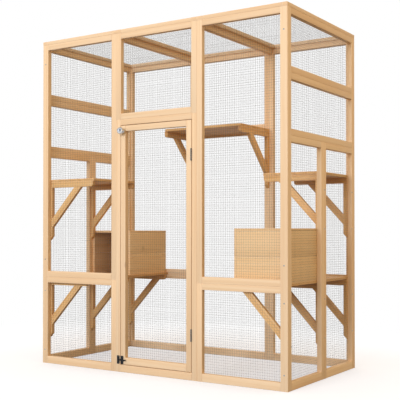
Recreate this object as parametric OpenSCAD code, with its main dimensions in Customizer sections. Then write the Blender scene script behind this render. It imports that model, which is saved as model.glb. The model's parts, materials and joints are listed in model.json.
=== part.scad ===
// Walk-in outdoor cat house: a framed and netted cabin with a hinged door, wall shelves on
// triangular brackets and two open-ended sleeping boxes. Millimetres, Z up.
// The origin is the centre of the overall box, knob included, on the ground. X runs along the
// front and Y to the back.

/* [Overall] */
// Width along the front
overall_w = 1536; // [1440:4:1800]
// Depth from front to back
overall_d = 793; // [773:4:1000]
// Height to the top of the roof frames
overall_h = 1800; // [1780:4:1950]

/* [Front columns] */
// Width of the left front column, from the corner to the first seam
left_col_w = 526; // [500:2:600]
// Width of the door column, from seam to seam
door_col_w = 508; // [490:2:520]
// Height of the seam in the left and right front columns
front_seam_z = 482; // [478:1:490]
// Height of the seam over the door
door_seam_z = 1324; // [1260:2:1400]

/* [Side and back walls] */
// Height of the lower seam in the side walls
side_low_seam_z = 1184; // [1150:2:1230]
// Height of the upper seam in the side walls
side_high_seam_z = 1477; // [1440:2:1520]
// Width of the middle column of the back wall
back_mid_w = 512; // [480:4:560]
// Height of the seam in the outer columns of the back wall
back_seam_z = 472; // [440:2:500]

/* [Frame timber] */
// Thickness of the wall frames
frame_t = 26; // [22:1:30]
// Face width of a corner post
post_w = 38; // [34:1:44]
// Face width of the stiles of the front frames
front_stile_w = 32; // [28:1:36]
// Face width of the stiles beside the door
jamb_w = 29; // [26:1:31]
// Face width of the stiles of the side and back frames
side_stile_w = 29; // [25:1:32]
// Height of the rails that meet at a seam of a side wall
side_rail_h = 31; // [28:1:34]
// Height of the bottom rails
bottom_rail_h = 40; // [34:1:46]
// Height of the rails that meet at a seam
seam_rail_h = 32; // [28:1:35]
// Height of the top rails of the walls
top_rail_h = 30; // [26:1:36]
// Thickness of the roof frames
roof_t = 20; // [16:1:24]
// Face width of the roof frame members
roof_member_w = 32; // [28:1:38]
// Width of each roof beam
beam_w = 30; // [26:1:36]
// Bevel on the long edges of the timber
edge_ease = 1.5; // [0.5:0.25:2.5]
// Hairline between two timbers that butt together
butt_gap = 0.2; // [0.1:0.1:0.4]

/* [Door] */
// Width of the door's stiles
door_stile_w = 30; // [28:1:34]
// Height of the door's top rail
door_top_rail_h = 30; // [27:1:36]
// Height of the door's bottom rail
door_bottom_rail_h = 36; // [32:1:44]
// Height of the sill rail under the door
sill_h = 38; // [34:1:44]
// Running gap round the door
door_gap = 3; // [2.8:0.1:4]

/* [Net] */
// Thickness of the net
net_t = 1.6; // [1.2:0.2:2.4]
// Width of a net strand
strand_w = 5; // [4:0.5:7]
// Largest spacing of the net strands
net_pitch = 152; // [146:1:175]

/* [Shelves] */
// Distance that the boards of the upper shelves reach from the wall
shelf_reach = 325; // [312:1:345]
// Distance that the boards of the platforms reach from the wall
platform_reach = 290; // [286:1:305]
// Thickness of the shelf boards
board_t = 14; // [12:1:18]
// Height of the top of the left platform
left_low_z = 481; // [475:1:500]
// Height of the top of the right platform
right_low_z = 494; // [490:1:512]
// Height of the top of the left upper shelf
left_high_z = 1025; // [1000:5:1060]
// Height of the top of the right upper shelf
right_high_z = 1040; // [1015:5:1075]
// Height of the top of the back shelf
back_shelf_z = 1321; // [1250:5:1400]
// Length of the back shelf
back_shelf_w = 510; // [500:1:520]
// Distance of the back shelf's left end from the middle
back_shelf_left = 250; // [240:1:260]
// Distance from the side wall's middle seam to the far side of a middle bracket
mid_bracket_y = 20; // [18:1:26]
// Distance that an upper shelf reaches past the middle seam
half_shelf_over = 4; // [3:1:14]
// Radius of the rounded shelf corners
shelf_corner_r = 20; // [10:1:30]
// Number of boards in each shelf
shelf_boards = 5; // [3:1:7]
// Gap between neighbouring boards
board_gap = 0.6; // [0.4:0.2:1.2]

/* [Brackets] */
// Thickness of the bracket timber
bracket_t = 20; // [16:1:22]
// Height of the bracket arm
arm_h = 31; // [26:1:36]
// Length of the arm under an upper shelf, from the wall
arm_l = 316; // [290:1:317]
// Length of the arm under a platform, from the wall
platform_arm_l = 278; // [264:1:285]
// Radius under the free end of the arm
arm_end_r = 14; // [6:1:20]
// Distance that the leg stands out from the wall
leg_w = 20; // [16:1:24]
// Length of the leg below the arm
leg_drop = 294; // [270:1:320]
// Rise of the sloping cut at the foot of the leg
leg_cut = 22; // [10:1:30]
// Distance from the wall to the far edge of the brace under the arm
brace_reach = 230; // [205:1:240]
// Width of the brace along the arm
brace_cut_w = 47; // [40:1:55]
// Distance below the arm where the brace's lower edge meets the leg
brace_drop = 222; // [200:1:235]

/* [Sleeping boxes] */
// Width of a sleeping box, out from the wall
box_w = 281; // [260:1:300]
// Length of a sleeping box along the wall
box_l = 360; // [330:1:364]
// Height of a sleeping box
box_h = 258; // [240:1:270]
// Thickness of the box panels
box_t = 12; // [9:1:15]
// Clear distance from the side wall's middle seam to a box's open end
box_start = 2; // [1:0.5:5]
// Clear distance from a box's closed end to the frames of the front or back wall
box_end_gap = 8.5; // [4.5:0.5:12]

/* [Hinges] */
// Height of each butt hinge
hinge_h = 60; // [45:1:75]
// Height of the middle of the lower hinge
low_hinge_z = 222; // [180:2:300]
// Height of the middle of the upper hinge
high_hinge_z = 1118; // [1000:2:1160]
// Radius of a hinge knuckle
knuckle_r = 3.2; // [2.8:0.1:3.6]
// Radius of a hinge pin
pin_r = 1.5; // [1.2:0.1:1.8]
// Thickness of a hinge leaf
leaf_t = 1.2; // [1:0.05:1.25]
// Depth of a hinge leaf into the door gap
leaf_d = 20; // [16:1:22]

/* [Knob] */
// Height of the knob's axis
knob_z = 1262; // [1240:1:1268]
// Radius of the round plate behind the knob
rose_r = 9; // [8:0.5:13]
// Thickness of the plate at its rim
rose_t = 3; // [2:0.5:4]
// Bevel round the plate's rim
rose_bevel = 1; // [0.5:0.25:1.5]
// Radius of the knob
knob_r = 17; // [14:0.5:18]
// Distance that the knob stands out from the door
knob_out = 40.5; // [38:0.5:46]
// Radius of the knob's neck
neck_r = 5; // [4.5:0.5:6]
// Radius of the spindle through the door
spindle_r = 4; // [3:0.25:4.25]
// Length of the turning tongue, from the spindle to its tip
tongue_l = 30; // [24:1:34]
// Width of the tongue
tongue_w = 16; // [12:1:20]
// Thickness of the tongue
tongue_t = 4; // [3:0.5:6]

/* [Bolt] */
// Height of the bolt's axis
bolt_z = 64; // [62:1:70]
// Radius of the sliding rod
rod_r = 3; // [2.5:0.25:3.5]
// Height of the bolt plates
bolt_plate_h = 44; // [36:1:46]
// Thickness of the bolt plates
bolt_plate_t = 1.5; // [1:0.25:2]
// Width of the plate on the door
bolt_plate_w = 19; // [17.5:0.5:24]
// Width of the keeper plate on the jamb
keeper_w = 18; // [15:0.5:22]
// Distance of the keeper plate from the edge of the doorway
keeper_edge = 3; // [0.5:0.5:5]
// Height of each strap round the rod
strap_h = 14; // [12:1:18]
// Width of each strap along the rod
strap_w = 5; // [4:0.5:5]
// Wall of each strap round the rod
strap_wall = 1.6; // [1.2:0.1:2]
// Radius of the rod's handle
handle_r = 2.5; // [2:0.25:3]
// Length of the rod's handle, out from the rod's axis
handle_l = 13; // [11:0.5:16]
// Distance that the rod slides
bolt_travel = 17; // [15:0.5:18]
// Distance that the shot rod stands past the near side of the keeper's strap
rod_tip_over = 2; // [1:0.5:4]

/* [Fit] */
// Radial clearance of the pins, the spindle and the rod
running_fit = 0.06; // [0.02:0.01:0.1]
// Clearance between parts that lie beside each other
side_fit = 0.3; // [0.2:0.05:0.5]

/* [Screws] */
// Radius of the screw heads
screw_head_r = 4; // [3:0.25:5]
// Height of the screw heads
screw_head_h = 1.2; // [0.8:0.2:2]
// Height below a shelf arm of the upper screw in each bracket leg
screw_drop_high = 50; // [40:1:70]
// Height below a shelf arm of the lower screw in each bracket leg
screw_drop_low = 245; // [220:1:260]
// Radius of the flat top of the screw heads
screw_top_r = 3; // [2:0.25:3.5]
// Heights of the lower screws in the front and back of the corner posts
post_screw_z = [75, 405, 580]; // [45:1:1735]
// Distance of the highest post screw below the top of the walls
post_screw_drop = 107; // [80:1:140]

/* [Hidden] */
$fn = 32;
facet_fn = 48;
// Distance that a cutting body runs past the face that it cuts.
cut_over = 1;

// Overall half sizes and the planes of the wall frames.
half_w = overall_w / 2;
half_d = overall_d / 2;
in_x = half_w - frame_t;
in_y = half_d - frame_t;
rail_end_x = half_w - post_w;
rail_end_y = half_d - post_w;
wall_h = overall_h - roof_t;

// Seams between neighbouring frames.
left_seam_x = left_col_w - half_w;
right_seam_x = left_seam_x + door_col_w;
back_seam_x = back_mid_w / 2;
back_rail_h = side_stile_w;
back_mid_seam_z = door_seam_z;

// The bay with the sleeping box sets the middle seam of each side wall: it is at the rear on the
// left and at the front on the right.
box_bay_l = box_start + box_l + box_end_gap;
left_seam_y = in_y - box_bay_l;
right_seam_y = -left_seam_y;

// Doorway and door.
doorway_left = left_seam_x + jamb_w;
doorway_right = right_seam_x - jamb_w;
doorway_top = door_seam_z - top_rail_h;
door_left = doorway_left + door_gap;
door_right = doorway_right - door_gap;
door_low = sill_h + door_gap;
door_high = doorway_top - door_gap;

// Hinge axis, in the middle of the gap and just clear of the front face.
hinge_x = doorway_right - door_gap / 2;
hinge_y = -half_d - knuckle_r - side_fit;

// Knob axis, and the places of the bolt along the front. The handle stops against the rear strap
// when the rod is shot, and the rod's tip then stands through the keeper's strap.
knob_x = door_left + door_stile_w / 2;
bolt_plate_x = door_left + side_fit;
front_strap_x = bolt_plate_x;
rear_strap_x = bolt_plate_x + bolt_plate_w - 2 * handle_r - 2 * side_fit - strap_w;
handle_x = rear_strap_x + strap_w + side_fit + handle_r + bolt_travel;
rod_tip_x = door_left - door_gap / 2;
keeper_x = doorway_left - keeper_edge - keeper_w;
keeper_strap_x = rod_tip_x - bolt_travel + rod_tip_over;
bolt_face_y = -half_d - bolt_plate_t;
bolt_y = bolt_face_y - rod_r - side_fit;

// Shelf undersides.
function arm_z(top) = top - board_t - arm_h;

// Moves the walls, which are centred on the footprint, so that the overall box is centred.
module placed() translate([0, (knob_out - screw_head_h) / 2, 0]) children();

module timber_color() color("#f0cd9c") children();
module shade_color() color("#dcae76") children();
module net_color() color("#c9ccce") children();
module chrome_color() color("#dfe3e8") children();
module black_color() color("#2a2a2c") children();

// Square section with bevelled corners.
module eased_section(w, h) {
    e = edge_ease;
    polygon([[e, 0], [w - e, 0], [w, e], [w, h - e], [w - e, h], [e, h], [0, h - e], [0, e]]);
}

// Timber between two opposite corners, with its grain along one axis.
module timber(low, high, grain) {
    size = high - low;
    if (grain == "z")
        translate(low) linear_extrude(height = size.z) eased_section(size.x, size.y);
    if (grain == "x")
        translate(low) rotate([90, 0, 90]) linear_extrude(height = size.x) eased_section(size.y, size.z);
    if (grain == "y")
        translate([low.x, high.y, low.z]) rotate([90, 0, 0])
            linear_extrude(height = size.y) eased_section(size.x, size.z);
}

// Frame of up to four timbers in a plane of constant Y. A stile of zero width is left out,
// because the rails then butt on a corner post.
module frame_x(x0, x1, z0, z1, y0, y1, stile0, stile1, rail0, rail1) {
    rail_x0 = stile0 > 0 ? x0 + stile0 + butt_gap : x0;
    rail_x1 = stile1 > 0 ? x1 - stile1 - butt_gap : x1;
    if (stile0 > 0) timber([x0, y0, z0], [x0 + stile0, y1, z1], "z");
    if (stile1 > 0) timber([x1 - stile1, y0, z0], [x1, y1, z1], "z");
    timber([rail_x0, y0, z0], [rail_x1, y1, z0 + rail0], "x");
    timber([rail_x0, y0, z1 - rail1], [rail_x1, y1, z1], "x");
}

// The same in a plane of constant X.
module frame_y(y0, y1, z0, z1, x0, x1, stile0, stile1, rail0, rail1) {
    rail_y0 = stile0 > 0 ? y0 + stile0 + butt_gap : y0;
    rail_y1 = stile1 > 0 ? y1 - stile1 - butt_gap : y1;
    if (stile0 > 0) timber([x0, y0, z0], [x1, y0 + stile0, z1], "z");
    if (stile1 > 0) timber([x0, y1 - stile1, z0], [x1, y1, z1], "z");
    timber([x0, rail_y0, z0], [x1, rail_y1, z0 + rail0], "y");
    timber([x0, rail_y0, z1 - rail1], [x1, rail_y1, z1], "y");
}

// Corner post with its inner corner rebated, so that both walls keep one thickness.
// It stands at a corner of the footprint; sx and sy say which.
module corner_post(sx, sy) {
    e = edge_ease;
    w = post_w;
    t = frame_t;
    mirror([sx > 0 ? 0 : 1, 0, 0]) mirror([0, sy > 0 ? 0 : 1, 0])
        translate([half_w - w, half_d - w, 0])
            linear_extrude(height = wall_h)
                polygon([[w - e, w], [0, w], [0, w - t], [w - t, w - t], [w - t, 0], [w, 0], [w, w - e]]);
}

// Flat net that fills a window, in its own plane with one corner at the origin.
module net_sheet(w, h) {
    cols = ceil((w - strand_w) / net_pitch);
    rows = ceil((h - strand_w) / net_pitch);
    step_x = (w - strand_w) / cols;
    step_y = (h - strand_w) / rows;
    linear_extrude(height = net_t)
        difference() {
            square([w, h]);
            for (i = [0 : cols - 1])
                for (j = [0 : rows - 1])
                    translate([i * step_x + strand_w, j * step_y + strand_w])
                        square([step_x - strand_w, step_y - strand_w]);
        }
}

// Net in a window of constant Y, of constant X and of constant Z.
module net_x(x0, x1, z0, z1, y)
    translate([x0 + butt_gap, y + net_t, z0 + butt_gap]) rotate([90, 0, 0])
        net_sheet(x1 - x0 - 2 * butt_gap, z1 - z0 - 2 * butt_gap);
module net_y(y0, y1, z0, z1, x)
    translate([x, y0 + butt_gap, z0 + butt_gap]) rotate([90, 0, 90])
        net_sheet(y1 - y0 - 2 * butt_gap, z1 - z0 - 2 * butt_gap);
module net_z(x0, x1, y0, y1, z)
    translate([x0 + butt_gap, y0 + butt_gap, z])
        net_sheet(x1 - x0 - 2 * butt_gap, y1 - y0 - 2 * butt_gap);

// Corner posts.
module post_front_left() timber_color() corner_post(-1, -1);
module post_front_right() timber_color() corner_post(1, -1);
module post_rear_left() timber_color() corner_post(-1, 1);
module post_rear_right() timber_color() corner_post(1, 1);

// Front frames.
module front_left_lower_frame() timber_color()
    frame_x(-rail_end_x, left_seam_x, 0, front_seam_z, -half_d, -in_y,
            0, front_stile_w, bottom_rail_h, seam_rail_h);
module front_left_upper_frame() timber_color()
    frame_x(-rail_end_x, left_seam_x, front_seam_z, wall_h, -half_d, -in_y,
            0, front_stile_w, seam_rail_h, top_rail_h);
module front_right_lower_frame() timber_color()
    frame_x(right_seam_x, rail_end_x, 0, front_seam_z, -half_d, -in_y,
            front_stile_w, 0, bottom_rail_h, seam_rail_h);
module front_right_upper_frame() timber_color()
    frame_x(right_seam_x, rail_end_x, front_seam_z, wall_h, -half_d, -in_y,
            front_stile_w, 0, seam_rail_h, top_rail_h);
module door_surround() timber_color()
    frame_x(left_seam_x, right_seam_x, 0, door_seam_z, -half_d, -in_y,
            jamb_w, jamb_w, sill_h, top_rail_h);
module over_door_frame() timber_color()
    frame_x(left_seam_x, right_seam_x, door_seam_z, wall_h, -half_d, -in_y,
            front_stile_w, front_stile_w, seam_rail_h, top_rail_h);

// Frames of one side wall, built on the right and mirrored to the left.
module side_place(sx) mirror([sx > 0 ? 0 : 1, 0, 0]) children();
module side_front_lower(seam_y)
    frame_y(-rail_end_y, seam_y, 0, side_low_seam_z, in_x, half_w,
            0, side_stile_w, bottom_rail_h, side_rail_h);
module side_rear_lower(seam_y)
    frame_y(seam_y, rail_end_y, 0, side_low_seam_z, in_x, half_w,
            side_stile_w, 0, bottom_rail_h, side_rail_h);
module side_middle()
    frame_y(-rail_end_y, rail_end_y, side_low_seam_z, side_high_seam_z, in_x, half_w,
            0, 0, side_rail_h, side_rail_h);
module side_top()
    frame_y(-rail_end_y, rail_end_y, side_high_seam_z, wall_h, in_x, half_w,
            0, 0, side_rail_h, top_rail_h);
module left_front_lower_frame() timber_color() side_place(-1) side_front_lower(left_seam_y);
module left_rear_lower_frame() timber_color() side_place(-1) side_rear_lower(left_seam_y);
module left_middle_frame() timber_color() side_place(-1) side_middle();
module left_top_frame() timber_color() side_place(-1) side_top();
module right_front_lower_frame() timber_color() side_place(1) side_front_lower(right_seam_y);
module right_rear_lower_frame() timber_color() side_place(1) side_rear_lower(right_seam_y);
module right_middle_frame() timber_color() side_place(1) side_middle();
module right_top_frame() timber_color() side_place(1) side_top();

// Back frames, a lower and an upper one in each column. The middle column has its seam as high as
// the one over the door, and the back shelf stands against the rail under it.
module back_column(x0, x1, seam_z, stile0, stile1) {
    frame_x(x0, x1, 0, seam_z - butt_gap, in_y, half_d, stile0, stile1, bottom_rail_h, back_rail_h);
    frame_x(x0, x1, seam_z, wall_h, in_y, half_d, stile0, stile1, back_rail_h, top_rail_h);
}
module back_left_frames() timber_color()
    back_column(-rail_end_x, -back_seam_x, back_seam_z, 0, side_stile_w);
module back_middle_frames() timber_color()
    back_column(-back_seam_x, back_seam_x, back_mid_seam_z, side_stile_w, side_stile_w);
module back_right_frames() timber_color()
    back_column(back_seam_x, rail_end_x, back_seam_z, side_stile_w, 0);

// Roof frame: two long members front to back and two cross members between them.
module roof_frame(x0, x1) {
    w = roof_member_w;
    timber([x0, -half_d, wall_h], [x0 + w, half_d, overall_h], "y");
    timber([x1 - w, -half_d, wall_h], [x1, half_d, overall_h], "y");
    timber([x0 + w + butt_gap, -half_d, wall_h], [x1 - w - butt_gap, w - half_d, overall_h], "x");
    timber([x0 + w + butt_gap, half_d - w, wall_h], [x1 - w - butt_gap, half_d, overall_h], "x");
}
module roof_left_frame() timber_color() roof_frame(-half_w, left_seam_x);
module roof_middle_frame() timber_color() roof_frame(left_seam_x, right_seam_x);
module roof_right_frame() timber_color() roof_frame(right_seam_x, half_w);
module roof_beams() timber_color()
    for (x = [left_seam_x, right_seam_x])
        timber([x - beam_w / 2, -in_y, wall_h - top_rail_h], [x + beam_w / 2, in_y, wall_h], "y");

// Nets of the walls and the roof, each set in its window flush with the inside.
module front_left_net() net_color() {
    x1 = left_seam_x - front_stile_w;
    net_x(-rail_end_x, x1, bottom_rail_h, front_seam_z - seam_rail_h, -in_y - net_t);
    net_x(-rail_end_x, x1, front_seam_z + seam_rail_h, wall_h - top_rail_h, -in_y - net_t);
}
module front_right_net() net_color() {
    x0 = right_seam_x + front_stile_w;
    net_x(x0, rail_end_x, bottom_rail_h, front_seam_z - seam_rail_h, -in_y - net_t);
    net_x(x0, rail_end_x, front_seam_z + seam_rail_h, wall_h - top_rail_h, -in_y - net_t);
}
module over_door_net() net_color()
    net_x(left_seam_x + front_stile_w, right_seam_x - front_stile_w,
          door_seam_z + seam_rail_h, wall_h - top_rail_h, -in_y - net_t);
module side_net(seam_y) {
    low_top = side_low_seam_z - side_rail_h;
    net_y(-rail_end_y, seam_y - side_stile_w, bottom_rail_h, low_top, in_x);
    net_y(seam_y + side_stile_w, rail_end_y, bottom_rail_h, low_top, in_x);
    net_y(-rail_end_y, rail_end_y, side_low_seam_z + side_rail_h, side_high_seam_z - side_rail_h, in_x);
    net_y(-rail_end_y, rail_end_y, side_high_seam_z + side_rail_h, wall_h - top_rail_h, in_x);
}
module left_net() net_color() side_place(-1) side_net(left_seam_y);
module right_net() net_color() side_place(1) side_net(right_seam_y);
module back_column_net(x0, x1, seam_z) {
    net_x(x0, x1, bottom_rail_h, seam_z - butt_gap - back_rail_h, in_y);
    net_x(x0, x1, seam_z + back_rail_h, wall_h - top_rail_h, in_y);
}
module back_net() net_color() {
    back_column_net(-rail_end_x, -back_seam_x - side_stile_w, back_seam_z);
    back_column_net(side_stile_w - back_seam_x, back_seam_x - side_stile_w, back_mid_seam_z);
    back_column_net(back_seam_x + side_stile_w, rail_end_x, back_seam_z);
}
module roof_net() net_color()
    for (span = [[-half_w, left_seam_x], [left_seam_x, right_seam_x], [right_seam_x, half_w]])
        net_z(span[0] + roof_member_w, span[1] - roof_member_w,
              roof_member_w - half_d, half_d - roof_member_w, wall_h);

// Bracket in its own frame: the wall is the plane X = 0, the arm's underside is Z = 0 and the
// timber runs from Y = 0 to its thickness.
module bracket_blank() rotate([90, 0, 0]) translate([0, 0, -bracket_t])
    linear_extrude(height = bracket_t) children();
module bracket(reach) {
    arm_upper = brace_reach - brace_cut_w;
    slope = (brace_reach - leg_w) / brace_drop;
    upper_drop = (arm_upper - leg_w) / slope;
    bracket_blank()
        polygon([[0, -leg_drop], [leg_w, leg_cut - leg_drop], [leg_w, -butt_gap], [0, -butt_gap]]);
    bracket_blank() {
        square([reach - arm_end_r, arm_h]);
        translate([reach - arm_end_r, arm_end_r]) square([arm_end_r, arm_h - arm_end_r]);
        translate([reach - arm_end_r, arm_end_r]) circle(r = arm_end_r);
    }
    bracket_blank()
        translate([butt_gap, -butt_gap])
            polygon([[leg_w, -brace_drop], [brace_reach, 0], [arm_upper, 0], [leg_w, -upper_drop]]);
}

// Bracket on the left wall, on the right wall and on the back wall, at one end of its span.
module left_bracket(y, z, reach) translate([-in_x, y, z]) bracket(reach);
module right_bracket(y, z, reach) translate([in_x, y, z]) mirror([1, 0, 0]) bracket(reach);
module back_bracket(x, z) translate([x, in_y, z]) rotate([0, 0, -90]) bracket(arm_l);

// Brackets of each shelf: at the front, the middle seam and the back of the depth.
front_y = -in_y;
rear_y = in_y - bracket_t;
left_mid_y = left_seam_y - mid_bracket_y;
right_mid_y = right_seam_y + mid_bracket_y - bracket_t;
module left_platform_brackets() shade_color()
    for (y = [front_y, left_mid_y, rear_y]) left_bracket(y, arm_z(left_low_z), platform_arm_l);
module right_platform_brackets() shade_color()
    for (y = [front_y, right_mid_y, rear_y]) right_bracket(y, arm_z(right_low_z), platform_arm_l);
module left_upper_brackets() shade_color()
    for (y = [front_y, left_mid_y]) left_bracket(y, arm_z(left_high_z), arm_l);
module right_upper_brackets() shade_color()
    for (y = [right_mid_y, rear_y]) right_bracket(y, arm_z(right_high_z), arm_l);
module back_shelf_brackets() shade_color()
    for (x = [-back_shelf_left, back_shelf_w - back_shelf_left - bracket_t])
        back_bracket(x, arm_z(back_shelf_z));

// Boards of a shelf: they run along X, the wall is at Y = 0 and the free corners are rounded
// where round0 and round1 say so.
module shelf(l, reach, round0, round1) {
    step = (reach + board_gap) / shelf_boards;
    board_w = step - board_gap;
    r = shelf_corner_r;
    for (i = [0 : shelf_boards - 2])
        translate([0, i * step, 0]) cube([l, board_w, board_t]);
    translate([0, reach - board_w, 0])
        linear_extrude(height = board_t) {
            square([l, board_w - r]);
            translate([round0 ? r : 0, 0])
                square([l - (round0 ? r : 0) - (round1 ? r : 0), board_w]);
            if (round0) translate([r, board_w - r]) circle(r = r);
            if (round1) translate([l - r, board_w - r]) circle(r = r);
        }
}
upper_l = in_y + left_seam_y + half_shelf_over;
module left_shelf(y, z, l, reach, round_rear)
    shade_color() translate([-in_x, y + l, z - board_t])
        rotate([0, 0, -90]) shelf(l, reach, round_rear, false);
module right_shelf(y, z, l, reach, round_front)
    shade_color() translate([in_x, y, z - board_t])
        rotate([0, 0, 90]) shelf(l, reach, round_front, false);
module left_platform() left_shelf(-in_y, left_low_z, 2 * in_y, platform_reach, false);
module right_platform() right_shelf(-in_y, right_low_z, 2 * in_y, platform_reach, false);
module left_upper_shelf() left_shelf(-in_y, left_high_z, upper_l, shelf_reach, true);
module right_upper_shelf()
    right_shelf(right_seam_y - half_shelf_over, right_high_z, upper_l, shelf_reach, true);
module back_shelf() shade_color()
    translate([back_shelf_w - back_shelf_left, in_y, back_shelf_z - board_t])
        rotate([0, 0, 180]) shelf(back_shelf_w, shelf_reach, true, true);

// Sleeping box in its own frame: the wall side is X = 0, the open end is Y = 0.
// Each panel is two boards high.
module box_panel(low, high) {
    mid = (low.z + high.z) / 2;
    translate(low) cube([high.x - low.x, high.y - low.y, mid - low.z - board_gap / 2]);
    translate([low.x, low.y, mid + board_gap / 2])
        cube([high.x - low.x, high.y - low.y, high.z - mid - board_gap / 2]);
}
module box_walls() {
    top = box_h - box_t;
    box_panel([0, 0, 0], [box_t, box_l, top]);
    box_panel([box_w - box_t, 0, 0], [box_w, box_l, top]);
    box_panel([box_t + butt_gap, box_l - box_t, 0], [box_w - box_t - butt_gap, box_l, top]);
}
module box_roof() translate([0, 0, box_h - box_t]) cube([box_w, box_l, box_t]);
module left_box_place() translate([-in_x, left_seam_y + box_start, left_low_z]) children();
module right_box_place()
    translate([in_x, right_seam_y - box_start, right_low_z]) rotate([0, 0, 180]) children();
module left_box_walls() shade_color() left_box_place() box_walls();
module left_box_roof() shade_color() left_box_place() box_roof();
module right_box_walls() shade_color() right_box_place() box_walls();
module right_box_roof() shade_color() right_box_place() box_roof();

// Heads of the screws that hold the bracket legs, on the outside of the walls.
module screw_head() cylinder(h = screw_head_h, r1 = screw_head_r, r2 = screw_top_r);
module side_screws(sx, y, top)
    for (drop = [screw_drop_high, screw_drop_low])
        translate([sx * half_w, y + bracket_t / 2, arm_z(top) - drop])
            rotate([0, sx * 90, 0]) screw_head();
module wall_screws() color("#9b9c9e") {
    for (y = [front_y, left_mid_y, rear_y]) side_screws(-1, y, left_low_z);
    for (y = [front_y, right_mid_y, rear_y]) side_screws(1, y, right_low_z);
    for (y = [front_y, left_mid_y]) side_screws(-1, y, left_high_z);
    for (y = [right_mid_y, rear_y]) side_screws(1, y, right_high_z);
    for (x = [-back_shelf_left, back_shelf_w - back_shelf_left - bracket_t])
        for (drop = [screw_drop_high, screw_drop_low])
            translate([x + bracket_t / 2, half_d, arm_z(back_shelf_z) - drop])
                rotate([-90, 0, 0]) screw_head();
    for (sx = [-1, 1])
        for (sy = [-1, 1])
            for (z = concat(post_screw_z, wall_h - post_screw_drop))
                translate([sx * (half_w - post_w / 2), sy * half_d, z])
                    rotate([-sy * 90, 0, 0]) screw_head();
}

// Door leaf, with a bore in the latch stile for the spindle.
module door_frame() timber_color() {
    w = door_stile_w;
    difference() {
        timber([door_left, -half_d, door_low], [door_left + w, -in_y, door_high], "z");
        translate([knob_x, 0, knob_z]) rotate([90, 0, 0])
            cylinder(h = overall_d, r = spindle_r + running_fit);
    }
    timber([door_right - w, -half_d, door_low], [door_right, -in_y, door_high], "z");
    timber([door_left + w + butt_gap, -half_d, door_low],
           [door_right - w - butt_gap, -in_y, door_low + door_bottom_rail_h], "x");
    timber([door_left + w + butt_gap, -half_d, door_high - door_top_rail_h],
           [door_right - w - butt_gap, -in_y, door_high], "x");
}
module door_net() net_color()
    net_x(door_left + door_stile_w, door_right - door_stile_w,
          door_low + door_bottom_rail_h, door_high - door_top_rail_h, -in_y - net_t);

// Butt hinges in the gap beside the door, with their knuckles just clear of the front face.
// The jamb leaf carries the outer knuckles and the door leaf the middle one.
leaf_y = knuckle_r + 2 * side_fit;
knuckle_l = hinge_h / 3;
knuckle_half = (knuckle_l - side_fit) / 2;
module hinge_places()
    for (z = [low_hinge_z, high_hinge_z]) translate([hinge_x, hinge_y, z]) children();
module knuckle(low, high, leaf_x) {
    neck_y = pin_r + running_fit + side_fit;
    difference() {
        union() {
            translate([0, 0, low]) cylinder(h = high - low, r = knuckle_r);
            translate([leaf_x, neck_y, low]) cube([leaf_t, leaf_y + leaf_t - neck_y, high - low]);
        }
        translate([0, 0, low - cut_over])
            cylinder(h = high - low + 2 * cut_over, r = pin_r + running_fit);
    }
}
module leaf(leaf_x) translate([leaf_x, leaf_y, -hinge_h / 2]) cube([leaf_t, leaf_d, hinge_h]);
module hinge_jamb_leaves() color("#55565a") hinge_places() {
    leaf_x = door_gap / 2 - leaf_t;
    leaf(leaf_x);
    knuckle(-hinge_h / 2, -knuckle_half - side_fit, leaf_x);
    knuckle(knuckle_half + side_fit, hinge_h / 2, leaf_x);
}
module hinge_door_leaves() color("#55565a") hinge_places() {
    leaf_x = -door_gap / 2;
    leaf(leaf_x);
    knuckle(-knuckle_half, knuckle_half, leaf_x);
}
module hinge_pins() color("#55565a") hinge_places() {
    translate([0, 0, -hinge_h / 2]) cylinder(h = hinge_h, r = pin_r);
    translate([0, 0, hinge_h / 2]) cylinder(h = pin_r, r1 = knuckle_r, r2 = pin_r);
}

// Knob with its plate, its spindle and the tongue inside. At rest the tongue hangs down.
module knob_rose() chrome_color()
    translate([knob_x, -half_d, knob_z]) rotate([90, 0, 0])
        difference() {
            cylinder(h = rose_t, r1 = rose_r, r2 = rose_r - rose_bevel);
            translate([0, 0, -cut_over])
                cylinder(h = rose_t + 2 * cut_over, r = spindle_r + running_fit);
        }
module door_knob() chrome_color()
    translate([knob_x, -half_d, knob_z]) rotate([90, 0, 0]) {
        translate([0, 0, knob_out - knob_r]) sphere(r = knob_r, $fn = facet_fn);
        translate([0, 0, rose_t + side_fit]) cylinder(h = knob_out - knob_r - rose_t, r = neck_r);
        translate([0, 0, -frame_t - tongue_t - side_fit])
            cylinder(h = frame_t + tongue_t + side_fit + knob_out - knob_r, r = spindle_r);
    }
module latch_tongue() chrome_color()
    translate([knob_x, side_fit - in_y, knob_z]) rotate([-90, 0, 0])
        linear_extrude(height = tongue_t)
            difference() {
                union() {
                    circle(d = tongue_w);
                    translate([-tongue_w / 2, 0]) square([tongue_w, tongue_l - tongue_w / 2]);
                    translate([0, tongue_l - tongue_w / 2]) circle(d = tongue_w);
                }
                circle(r = spindle_r + butt_gap / 2);
            }

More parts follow.
